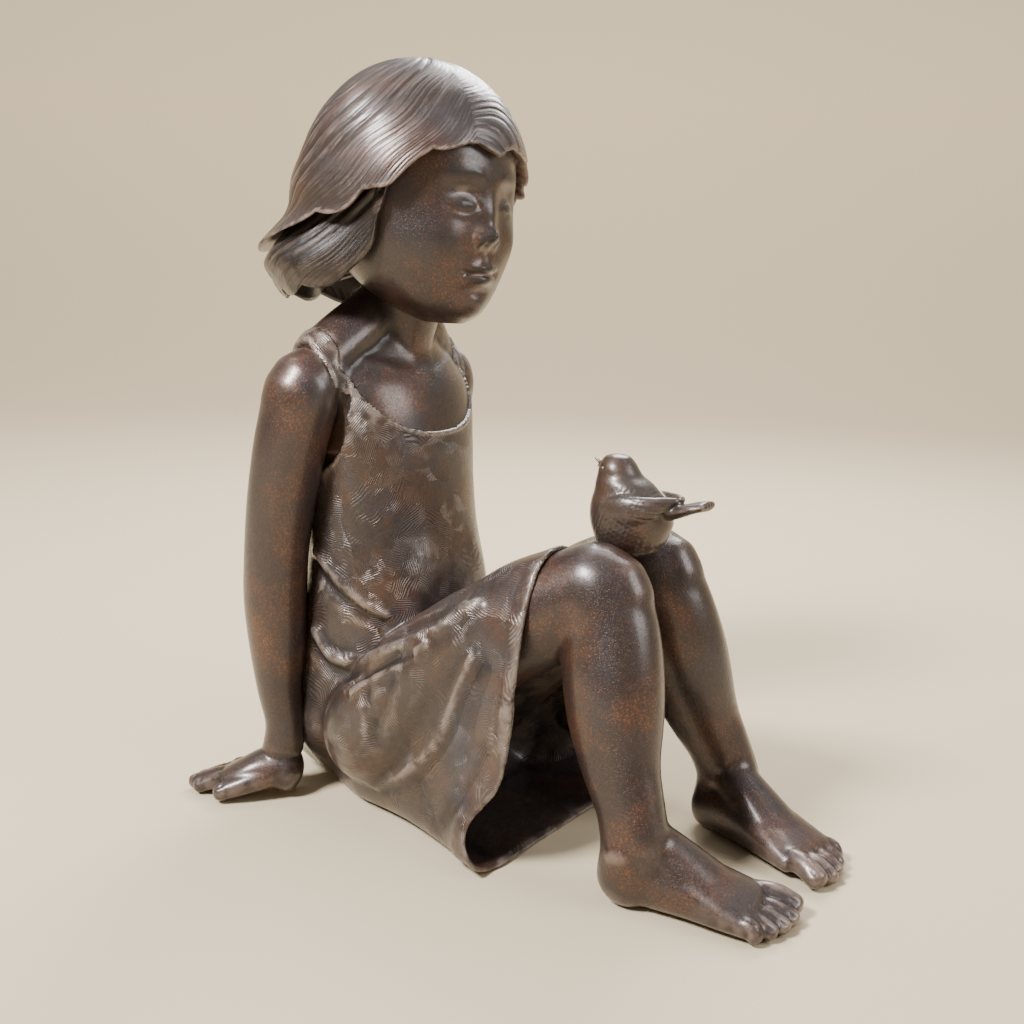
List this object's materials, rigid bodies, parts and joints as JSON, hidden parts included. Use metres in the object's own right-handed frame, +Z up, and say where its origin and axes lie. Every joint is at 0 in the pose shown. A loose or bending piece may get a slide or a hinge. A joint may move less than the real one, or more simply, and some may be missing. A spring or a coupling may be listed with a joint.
{
  "type": "seated girl with bird statuette",
  "caption": "Cast bronze statuette of a barefoot girl in a sleeveless dress, seated on the ground with knees drawn up and leaning back on straight arms, a small bird on her lap.",
  "frame": {"origin": "on the ground plane, under the girl's hips and midway between them", "axes": "+Z up; -Y the way that the girl faces, from the seat to the toes; +X to her left"},
  "size_m": [0.2137, 0.3676, 0.4339],
  "materials": {
    "girl_bronze": "brown patinated bronze, waxed",
    "bird_bronze": "brown patinated bronze, waxed"
  },
  "bodies": {
    "root": {"girl": "girl_bronze", "bird": "bird_bronze"}
  },
  "joints": []
}
